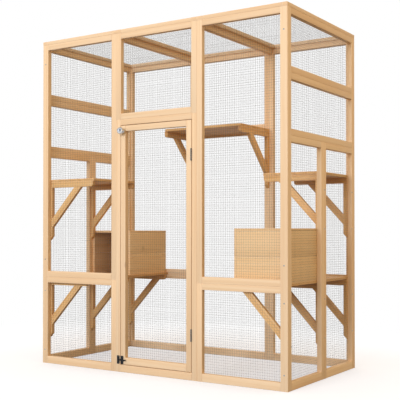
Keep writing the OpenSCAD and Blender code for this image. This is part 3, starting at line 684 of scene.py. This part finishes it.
METAL_SKIN = metal_skin()
print("group:", METAL_SKIN.name)

# %% Material: metal with its skin
LEAST_RUB, MOST_RUB = 0.25, 0.9
SPECK_SHADE, SCUFF_SHINE, PATCH_RELIEF = 0.35, 0.3, 0.4
SKIN_DEPTH = 0.05 * MM


def metal(name, low, high, worn, metallic, rough, rough_more, patch_rate, relief, shine=0.5):
    material, tree = empty_material(name)
    skin = put(tree, "ShaderNodeGroup", node_tree=METAL_SKIN)
    place = put(tree, "ShaderNodeTexCoord").outputs["Object"]
    tree.links.new(place, skin.inputs["Place"])
    skin.inputs["Patch Rate"].default_value = patch_rate
    out = skin.outputs

    bared = step_between(tree, out["Patches"], 0.0, 1.0, LEAST_RUB, MOST_RUB)
    rub = calc(tree, "MULTIPLY", edge_masks(tree)["Edge"], bared)
    rub = calc(tree, "MAXIMUM", rub, calc(tree, "MULTIPLY", out["Scuffs"], SCUFF_SHINE))
    color = mix_color(tree, out["Patches"], low, high)
    color = mix_color(tree, calc(tree, "MULTIPLY", out["Specks"], SPECK_SHADE), color, low)
    color = mix_color(tree, rub, color, worn)

    marks = calc(tree, "MAXIMUM", out["Scuffs"], out["Specks"])
    roughness = calc(tree, "MULTIPLY_ADD", marks, rough_more, rough)
    swell = calc(tree, "MULTIPLY", out["Patches"], PATCH_RELIEF)
    finish_surface(tree, relief, SKIN_DEPTH, calc(tree, "SUBTRACT", swell, out["Specks"]),
                   {"Base Color": color, "Metallic": metallic, "Roughness": roughness,
                    "Specular IOR Level": shine})
    return material


print("an edge is rubbed bare by", LEAST_RUB, "to", MOST_RUB)

# %% Five metals
WIRE = metal(
    "galvanised_wire", low=paint(77, 71, 63), high=paint(102, 96, 87), worn=paint(131, 125, 116),
    metallic=0.7, rough=0.42, rough_more=0.15, patch_rate=140.0, relief=0.2)
ZINC = metal(
    "zinc_plate", low=paint(136, 132, 124), high=paint(178, 174, 166), worn=paint(206, 204, 200),
    metallic=0.85, rough=0.32, rough_more=0.2, patch_rate=500.0, relief=0.3)
HINGE_STEEL = metal(
    "rolled_hinge_steel", low=paint(74, 71, 68), high=paint(104, 100, 96),
    worn=paint(140, 137, 133), metallic=0.8, rough=0.36, rough_more=0.2, patch_rate=260.0,
    relief=0.4)
CHROME = metal(
    "polished_chrome", low=paint(196, 198, 202), high=paint(212, 214, 217),
    worn=paint(228, 230, 232), metallic=1.0, rough=0.05, rough_more=0.12, patch_rate=90.0,
    relief=0.05)
BLACK_STEEL = metal(
    "black_powder_coat", low=paint(7, 8, 9), high=paint(14, 15, 17), worn=paint(60, 61, 64),
    metallic=0.0, rough=0.42, rough_more=0.14, patch_rate=700.0, relief=0.6, shine=0.25)
print("metals:", [m.name for m in (WIRE, ZINC, HINGE_STEEL, CHROME, BLACK_STEEL)])

# %% [markdown]
# ## Welded wire mesh
# The nets are galvanised wire of about two thirds of a millimetre, welded into squares of half an
# inch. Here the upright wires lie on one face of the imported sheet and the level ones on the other,
# so the mesh stays as thick as its sheet and the two layers cross a hair's breadth apart. One wire
# is modelled and the Array modifier repeats it across a window; its ends run a few millimetres
# into the timber, as the edge of the mesh does in its groove. Two thousand wires must stay light,
# so a wire has six sides.

# %% Helpers for turned pieces
LEFT_FACING, RIGHT_FACING = (0.0, -math.pi / 2, 0.0), (0.0, math.pi / 2, 0.0)
FRONT_FACING, BACK_FACING = (math.pi / 2, 0.0, 0.0), (-math.pi / 2, 0.0, 0.0)
UPRIGHT = (0.0, 0.0, 0.0)


def in_mm(profile):
    return [(radius * MM, height * MM) for radius, height in profile]


def turned(name, profile, sides):
    deselect()
    radius, height = profile[0]
    bpy.ops.mesh.primitive_circle_add(vertices=sides, radius=radius, fill_type="NGON",
                                      location=(0.0, 0.0, height))
    piece = bpy.context.active_object
    piece.name = name
    bpy.ops.object.mode_set(mode="EDIT")
    for wide, high in profile[1:]:
        rise, widen = (0.0, 0.0, high - height), (wide / radius, wide / radius, 1.0)
        bpy.ops.mesh.extrude_region_move(TRANSFORM_OT_translate={"value": rise})
        bpy.ops.transform.resize(value=widen, center_override=(0.0, 0.0, high))
        radius, height = wide, high
    bpy.ops.mesh.select_all(action="SELECT")
    bpy.ops.mesh.normals_make_consistent(inside=False)
    bpy.ops.object.mode_set(mode="OBJECT")
    fix_in_mesh()
    return piece


def stand(piece, place, turn=UPRIGHT):
    piece.location = place
    piece.rotation_euler = turn
    work_on(piece)
    fix_in_mesh()
    return piece


def note_size(piece):
    middle, half = middle_and_half(extent(piece.data))
    layers = {"from_middle": [], "half_size": []}
    for vertex in piece.data.vertices:
        layers["from_middle"] += [c - m for c, m in zip(vertex.co, middle)]
        layers["half_size"] += half
    store_vectors(piece.data, layers)


print("turning helpers:", [helper.__name__ for helper in (in_mm, turned, stand, note_size)])

# %% Wires of one window
WIRE_PITCH = 12.7 * MM
WIRE_RADIUS = 0.32 * MM
WIRE_TUCK = 4.0 * MM
WIRE_SIDES = 6
WIRE_TURN = {0: RIGHT_FACING, 1: BACK_FACING, 2: UPRIGHT}


def row_of_wires(spans, run, step, thin, height):
    length = spans[run][1] - spans[run][0] + 2 * WIRE_TUCK
    room = spans[step][1] - spans[step][0]
    count = max(2, round(room / WIRE_PITCH))
    pitch = room / count
    place, offset = [0.0, 0.0, 0.0], [0.0, 0.0, 0.0]
    place[run] = (spans[run][0] + spans[run][1]) / 2
    place[step] = spans[step][0] + pitch / 2
    place[thin] = height
    offset[step] = pitch
    ends = [(WIRE_RADIUS, -length / 2), (WIRE_RADIUS, length / 2)]
    wire = stand(turned("wire", ends, WIRE_SIDES), place, WIRE_TURN[run])
    apply_modifier(wire, "ARRAY", count=count, use_relative_offset=False,
                   use_constant_offset=True, constant_offset_displace=offset)
    return wire


def weave_window(spans):
    sizes = [high - low for low, high in spans]
    thin = sizes.index(min(sizes))
    first, second = [axis for axis in (0, 1, 2) if axis != thin]
    low, high = spans[thin]
    return [row_of_wires(spans, second, first, thin, low + WIRE_RADIUS),
            row_of_wires(spans, first, second, thin, high - WIRE_RADIUS)]


print("wires of", 2 * WIRE_RADIUS / MM, "mm, about", WIRE_PITCH / MM, "mm apart")

# %% Dress every net
def dress_net(node):
    sheets = merged_parts(node)
    windows = [extent(sheet.data) for sheet in sheets]
    for sheet in sheets:
        bpy.data.objects.remove(sheet)
    wires = [wire for spans in windows for wire in weave_window(spans)]
    piece = join_pieces(wires, node.replace("_net", "_wire_mesh"))
    shade_smooth(piece, up_to=70)
    seat_piece(piece, WIRE, node)
    return len(piece.data.polygons)


nets = [node for node in sorted(NODES) if SLOT_OF[node] == "galvanised_wire"]
print("wire mesh faces:", {node: dress_net(node) for node in nets})

# %% [markdown]
# ## Screw heads
# Pan-head screws hold the posts and the shelf brackets; only their heads show. A head is a turned
# thing, so it starts as a disc that is drawn up ring by ring, each ring a little narrower, and the
# cross for the driver is cut in with a tapered cross. The head is modelled once. Each copy gets
# its own mesh and is turned to the face of the wood that it sits on; the places are read from the
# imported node, so they agree with the brackets behind the wood.

# %% Helpers for cut metal
CROSS_TAPER, CROSS_ABOVE = (0.45, 0.45, 1.0), 0.4 * MM
HEAD_SIDES, DISH_SIDES = 20, 24


def cut_out(piece, cutter):
    apply_modifier(piece, "BOOLEAN", operation="DIFFERENCE", solver="EXACT", object=cutter)
    bpy.data.objects.remove(cutter)


def block(name, low, high):
    deselect()
    middle = [(a + b) / 2 for a, b in zip(low, high)]
    bpy.ops.mesh.primitive_cube_add(size=1.0, location=middle)
    piece = bpy.context.active_object
    piece.name = name
    piece.scale = [b - a for a, b in zip(low, high)]
    fix_in_mesh()
    return piece


def shape_chosen(items, kind, wanted, operator, **settings):
    # The kind is set before anything is chosen: by vertices, four edges would choose them all.
    bpy.ops.object.mode_set(mode="EDIT")
    bpy.ops.mesh.select_mode(type=kind)
    bpy.ops.mesh.select_all(action="DESELECT")
    bpy.ops.object.mode_set(mode="OBJECT")
    for item in items:
        item.select = wanted(item)
    bpy.ops.object.mode_set(mode="EDIT")
    operator(**settings)
    bpy.ops.mesh.select_mode(type="VERT")
    bpy.ops.object.mode_set(mode="OBJECT")


def cross_cutter(reach, slot, top, depth):
    arms = []
    for along, across in ((reach, slot), (slot, reach)):
        arm = block("cross_arm", (-along, -across, top - depth), (along, across, top + CROSS_ABOVE))
        shape_chosen(arm.data.polygons, "FACE", lambda face: face.normal.z < -0.9,
                     bpy.ops.transform.resize, value=CROSS_TAPER,
                     center_override=(0.0, 0.0, top - depth))
        arms.append(arm)
    apply_modifier(arms[0], "BOOLEAN", operation="UNION", solver="EXACT", object=arms[1])
    bpy.data.objects.remove(arms[1])
    return arms[0]


def copy_to(piece, name, place, turn=UPRIGHT):
    return stand(new_object(name, piece.data.copy()), place, turn)


print("cutting helpers:", [helper.__name__ for helper in (cut_out, block, shape_chosen, copy_to)])

# %% One pan-head screw
HEAD_PROFILE = in_mm([(3.9, -0.1), (4.0, 0.2), (3.9, 0.5), (3.6, 0.85), (3.1, 1.08), (2.4, 1.2)])
HEAD_TOP = 1.2 * MM
CROSS_REACH, CROSS_SLOT, CROSS_DEPTH = 2.1 * MM, 0.42 * MM, 0.95 * MM

pan_head = turned("pan_head", HEAD_PROFILE, HEAD_SIDES)
cut_out(pan_head, cross_cutter(CROSS_REACH, CROSS_SLOT, HEAD_TOP, CROSS_DEPTH))
shade_smooth(pan_head, up_to=40)
note_size(pan_head)
print("one head:", len(pan_head.data.polygons), "faces")
print_size(pan_head)

# %% A head on each screw's place
OUTWARD = {(0, 1): RIGHT_FACING, (0, -1): LEFT_FACING, (1, 1): BACK_FACING, (1, -1): FRONT_FACING}
driver_turn = random.Random(40)


def seat_head(cad_head):
    spans = extent(cad_head.data)
    bpy.data.objects.remove(cad_head)
    middle, half = middle_and_half(spans)
    thin = half.index(min(half))
    sign = 1 if middle[thin] > 0.0 else -1
    middle[thin] = spans[thin][0] if sign > 0 else spans[thin][1]
    head = copy_to(pan_head, "head", UPRIGHT, (0.0, 0.0, driver_turn.uniform(0.0, math.pi / 2)))
    return stand(head, middle, OUTWARD[thin, sign])


heads = [seat_head(cad_head) for cad_head in merged_parts("wall_screws")]
print("screw heads:", len(heads))
seat_piece(join_pieces(heads, "screw_heads"), ZINC, "wall_screws")

# %% [markdown]
# ## The two butt hinges
# A butt hinge is two leaves of sheet steel, rolled at one edge into knuckles that share a pin. Here
# the knuckles stand in front of the gap and the leaves are folded into it, so the shut door shows
# only two slim dark barrels. The leaves are bevelled blocks with countersunk screws, which an open
# door shows; the knuckles and the pin are turned. The jamb carries the outer knuckles, the door
# the middle one, and both are made once round the hinge's own middle and copied to both heights.

# %% Measures of a hinge
LEAF_NEAR, LEAF_FAR = 0.3 * MM, 1.5 * MM
LEAF_FRONT, LEAF_BACK = 3.8 * MM, 23.8 * MM
NECK_FRONT, NECK_BACK = 1.9 * MM, 5.0 * MM
HINGE_HALF = 30.0 * MM
LEAF_ARRIS, NECK_ARRIS = 0.25 * MM, 0.15 * MM
KNUCKLE_SIDES = 28
KNUCKLE_RADIUS, KNUCKLE_END, KNUCKLE_EDGE = 3.2 * MM, 2.85 * MM, 0.35 * MM
KNUCKLE_SPANS = {"jamb": [(-30.0, -10.15), (10.15, 30.0)], "door": [(-9.85, 9.85)]}
LEAF_SCREWS = (-20 * MM, 20 * MM)
LEAF_SCREW_RADIUS, LEAF_SCREW_SUNK = 2.4 * MM, 0.12 * MM
LEAF_DISH = in_mm([(1.6, -0.8), (2.5, 0.0), (2.7, 0.2)])
PIN_PROFILE = in_mm([(1.0, -30.0), (1.45, -29.5), (1.45, 30.02), (3.0, 30.04), (3.2, 30.3),
                     (3.0, 30.8), (2.2, 31.3), (0.9, 31.5)])
print("hinge:", 2 * HINGE_HALF / MM, "mm tall, knuckles", 2 * KNUCKLE_RADIUS / MM, "mm wide")

# %% Knuckles, leaves and their screws
def knuckle(low, high):
    return turned("knuckle", [(KNUCKLE_END, low), (KNUCKLE_RADIUS, low + KNUCKLE_EDGE),
                              (KNUCKLE_RADIUS, high - KNUCKLE_EDGE), (KNUCKLE_END, high)],
                  KNUCKLE_SIDES)


def countersunk_screw(radius):
    profile = [(0.4 * radius, -0.5 * radius), (0.94 * radius, -0.1 * MM),
               (0.9 * radius, -0.04 * MM), (0.4 * radius, 0.0)]
    head = turned("countersunk_head", profile, HEAD_SIDES)
    cut_out(head, cross_cutter(0.55 * radius, 0.12 * radius, 0.0, 0.36 * radius))
    return head


def dish_for_screw(piece, profile, place, facing):
    cut_out(piece, stand(turned("dish", profile, DISH_SIDES), place, facing))


def screwed_leaf(side):
    low_x, high_x = sorted((side * LEAF_NEAR, side * LEAF_FAR))
    leaf = block("leaf", (low_x, LEAF_FRONT, -HINGE_HALF), (high_x, LEAF_BACK, HINGE_HALF))
    soften(leaf, LEAF_ARRIS)
    parts = [leaf]
    facing = LEFT_FACING if side > 0 else RIGHT_FACING
    for height in LEAF_SCREWS:
        place = Vector((side * LEAF_NEAR, (LEAF_FRONT + LEAF_BACK) / 2, height))
        dish_for_screw(leaf, LEAF_DISH, place, facing)
        sunk = place + Vector((side * LEAF_SCREW_SUNK, 0.0, 0.0))
        parts.append(stand(countersunk_screw(LEAF_SCREW_RADIUS), sunk, facing))
    return parts


def rolled_neck(side, low, high):
    low_x, high_x = sorted((side * LEAF_NEAR, side * LEAF_FAR))
    neck = block("neck", (low_x, NECK_FRONT, low), (high_x, NECK_BACK, high))
    soften(neck, NECK_ARRIS)
    return neck


print("hinge helpers:", [helper.__name__ for helper in (knuckle, screwed_leaf, rolled_neck)])

# %% One hinge, round its own middle
hinge_sides = {}
for half, side in (("jamb", 1.0), ("door", -1.0)):
    parts = screwed_leaf(side)
    for low, high in KNUCKLE_SPANS[half]:
        parts += [knuckle(low * MM, high * MM), rolled_neck(side, low * MM, high * MM)]
    for part in parts:
        note_size(part)
    hinge_sides[half] = join_pieces(parts, half + "_half")
hinge_sides["pin"] = turned("pin", PIN_PROFILE, KNUCKLE_SIDES)
note_size(hinge_sides["pin"])
print("hinge faces:", {name: len(piece.data.polygons) for name, piece in hinge_sides.items()})

# %% Both hinges on the door's right edge
HINGE_X, HINGE_Y = 235.5 * MM, -380.35 * MM
HINGE_HEIGHTS = (222 * MM, 1118 * MM)
HINGE_NODES = {"jamb": "hinge_jamb_leaves", "door": "hinge_door_leaves", "pin": "hinge_pins"}


def finish_metal(parts, name, material, node, up_to):
    piece = join_pieces(parts, name)
    shade_smooth(piece, up_to)
    seat_piece(piece, material, node)
    print_size(piece)


for half, node in HINGE_NODES.items():
    pair = [copy_to(hinge_sides[half], half, (HINGE_X, HINGE_Y, z)) for z in HINGE_HEIGHTS]
    bpy.data.objects.remove(hinge_sides[half])
    finish_metal(pair, node + "_steel", HINGE_STEEL, node, up_to=40)

# %% [markdown]
# ## The knob and its tongue
# The door is held shut by a plain round knob of chromed metal. It stands on a small round plate,
# the rose, and its spindle runs through the door's stile to a tongue inside, which swings behind
# the jamb when the knob is turned. Ball, neck and spindle are one turned piece; the rose is turned
# and bored, so the spindle is free in it. The tongue starts as a disc whose lower half is drawn
# down.

# %% Rose and knob
KNOB_X, KNOB_Z = -195.0 * MM, 1262.0 * MM
FRONT_FACE = -376.85 * MM
KNOB_SIDES = 48
BALL_RADIUS, BALL_DEPTH, BALL_OUT = 19.0, 17.0, 23.5
ROSE_PROFILE = in_mm([(9.0, 0.0), (9.0, 1.5), (8.8, 2.1), (8.3, 2.6), (7.6, 2.9), (6.8, 3.0)])
ROSE_BORE = in_mm([(4.06, -1), (4.06, 5)])
NECK_PROFILE = in_mm([(3.6, -30.3), (4.0, -29.9), (4.0, 3.3), (6.4, 3.35), (6.6, 3.8), (6.3, 4.4),
                      (5.3, 5.1), (4.9, 6.0), (5.2, 6.8)])
ball_angles = [math.radians(a) for a in (*range(24, 180, 6), 178.5)]
BALL_PROFILE = in_mm([(BALL_RADIUS * math.sin(a), BALL_OUT - BALL_DEPTH * math.cos(a))
                      for a in ball_angles])

KNOB_PLACE = (KNOB_X, FRONT_FACE, KNOB_Z)
rose = stand(turned("rose", ROSE_PROFILE, KNOB_SIDES), KNOB_PLACE, FRONT_FACING)
cut_out(rose, stand(turned("bore", ROSE_BORE, KNOB_SIDES), KNOB_PLACE, FRONT_FACING))
knob = turned("ball_knob", NECK_PROFILE + BALL_PROFILE, KNOB_SIDES)
stand(knob, KNOB_PLACE, FRONT_FACING)
print("knob reaches", round(min(v.co.y for v in knob.data.vertices) / MM, 2), "mm")

# %% The tongue
TONGUE_HALF, TONGUE_DROP = 8.0 * MM, 22.0 * MM
TONGUE_FRONT, TONGUE_BACK = -350.55 * MM, -346.55 * MM
TONGUE_SIDES = 40
TONGUE_BORE, TONGUE_ARRIS = in_mm([(4.1, -1), (4.1, 6)]), 0.5 * MM
END_SCREW_TURN = 0.4

TONGUE_PLACE = (KNOB_X, TONGUE_BACK, KNOB_Z)
tongue = turned("tongue", [(TONGUE_HALF, 0.0), (TONGUE_HALF, TONGUE_BACK - TONGUE_FRONT)],
                TONGUE_SIDES)
shape_chosen(tongue.data.vertices, "VERT", lambda vertex: vertex.co.y < -0.01 * MM,
             bpy.ops.transform.translate, value=(0.0, -TONGUE_DROP, 0.0))
stand(tongue, TONGUE_PLACE, FRONT_FACING)
cut_out(tongue, stand(turned("bore", TONGUE_BORE, TONGUE_SIDES), TONGUE_PLACE, FRONT_FACING))
soften(tongue, TONGUE_ARRIS)
end_screw = copy_to(pan_head, "end_screw", TONGUE_PLACE, (-math.pi / 2, 0.0, END_SCREW_TURN))
bpy.data.objects.remove(pan_head)
for part in (rose, knob, tongue):
    note_size(part)
KNOB_PARTS = {"knob_rose": [rose], "door_knob": [knob], "latch_tongue": [tongue, end_screw]}
for node, parts in KNOB_PARTS.items():
    finish_metal(parts, node + "_chromed", CHROME, node, up_to=35)

# %% [markdown]
# ## The small bolt
# A black bolt keeps the lower corner of the door. Its rod slides in two straps on the door's plate
# and into one on the keeper beside it. A strap is bent from strip steel: its outline is drawn from
# a single point, pulled along step by step, then widened and given the thickness of the strip by
# the Solidify modifier. The plates are blocks whose four corners are rounded before their arrises
# are softened. The rod and its small handle are turned.

# %% Measures of the bolt
BOLT_Z = 64.0 * MM
PLATE_FACE = FRONT_FACE - 1.5 * MM
PLATE_HALF, PLATE_CORNER, PLATE_ARRIS = 22 * MM, 3.5 * MM, 0.4 * MM
PLATE_SCREWS, PLATE_SCREW_RADIUS = (-16 * MM, 16 * MM), 2.8 * MM
PLATE_DISH = in_mm([(1.8, -0.9), (2.9, 0.0), (3.1, 0.2)])
ROD_Y, ROD_RADIUS, ROD_PLAY = -381.65 * MM, 3.0 * MM, 0.3 * MM
STRAP_WIDTH, STRAP_WALL, STRAP_FOOT, STRAP_ARRIS = 5.0 * MM, 1.6 * MM, 7.0 * MM, 0.3 * MM
print("the rod's middle lies", round((FRONT_FACE - ROD_Y) / MM, 2), "mm in front of the wood")

# %% A strap bent from a strip
def strap_outline():
    inner, rise = ROD_RADIUS + ROD_PLAY, PLATE_FACE - ROD_Y
    angles = [math.radians(a) for a in range(0, 181, 15)]
    arch = [(math.cos(a) * inner, rise + math.sin(a) * inner) for a in angles]
    return [(STRAP_FOOT, 0.0), (inner, 0.0)] + arch + [(-inner, 0.0), (-STRAP_FOOT, 0.0)]


def bent_strap(x):
    strap = flat_sheet("strap", 1 * MM, (0.0, 0.0, 0.0))
    bpy.ops.object.mode_set(mode="EDIT")
    bpy.ops.mesh.merge(type="CENTER")
    (z, out), *later = strap_outline()
    bpy.ops.transform.translate(value=(x, PLATE_FACE - out, BOLT_Z + z))
    for next_z, next_out in later:
        step = (0.0, out - next_out, next_z - z)
        bpy.ops.mesh.extrude_vertices_move(TRANSFORM_OT_translate={"value": step})
        z, out = next_z, next_out
    bpy.ops.mesh.select_all(action="SELECT")
    bpy.ops.mesh.extrude_edges_move(TRANSFORM_OT_translate={"value": (STRAP_WIDTH, 0.0, 0.0)})
    bpy.ops.mesh.select_all(action="SELECT")
    bpy.ops.mesh.normals_make_consistent(inside=False)
    bpy.ops.object.mode_set(mode="OBJECT")
    top_face = min(strap.data.polygons, key=lambda polygon: polygon.center.y)
    outward = 1.0 if top_face.normal.y < 0.0 else -1.0
    apply_modifier(strap, "SOLIDIFY", thickness=STRAP_WALL, offset=outward, use_even_offset=True)
    soften(strap, STRAP_ARRIS)
    return strap


print("outline of a strap:", len(strap_outline()), "points")

# %% Plate and keeper
def bolt_plate(low_x, high_x):
    plate = block("plate", (low_x, PLATE_FACE, BOLT_Z - PLATE_HALF),
                  (high_x, FRONT_FACE, BOLT_Z + PLATE_HALF))
    shape_chosen(plate.data.edges, "EDGE", lambda edge: abs(edge_vector(plate.data, edge).y) > MM,
                 bpy.ops.mesh.bevel, offset=PLATE_CORNER, segments=6)
    soften(plate, PLATE_ARRIS)
    parts = [plate]
    for height in PLATE_SCREWS:
        place = ((low_x + high_x) / 2, PLATE_FACE, BOLT_Z + height)
        dish_for_screw(plate, PLATE_DISH, place, FRONT_FACING)
        parts.append(stand(countersunk_screw(PLATE_SCREW_RADIUS), place, FRONT_FACING))
    return parts


BOLT_PARTS = {"bolt_keeper": ((-234.0, -216.0), (-226.5,)),
              "bolt_plate": ((-209.7, -190.7), (-209.7, -201.3))}
for node, ((low_x, high_x), strap_places) in BOLT_PARTS.items():
    parts = bolt_plate(low_x * MM, high_x * MM) + [bent_strap(x * MM) for x in strap_places]
    for part in parts:
        note_size(part)
    finish_metal(parts, node + "_black", BLACK_STEEL, node, up_to=35)

# %% The rod and its handle
ROD_PROFILE = in_mm([(2.1, 0.0), (2.7, 0.2), (3.0, 0.8), (3.0, 36.8), (2.7, 37.3), (2.1, 37.5)])
HANDLE_PROFILE = in_mm([(2.5, 0.0), (2.5, 6.4), (2.2, 7.0), (2.6, 7.6), (3.3, 8.6), (3.5, 9.8),
                        (3.3, 11.2), (2.6, 12.3), (1.5, 12.9), (0.6, 13.0)])
ROD_X, HANDLE_X = -211.5 * MM, -176.5 * MM
ROD_SIDES, HANDLE_SIDES = 32, 24

rod = turned("rod", ROD_PROFILE, ROD_SIDES)
handle = turned("handle", HANDLE_PROFILE, HANDLE_SIDES)
parts = [stand(rod, (ROD_X, ROD_Y, BOLT_Z), RIGHT_FACING),
         stand(handle, (HANDLE_X, ROD_Y, BOLT_Z), FRONT_FACING)]
for part in parts:
    note_size(part)
finish_metal(parts, "bolt_rod_black", BLACK_STEEL, "bolt_rod", up_to=35)
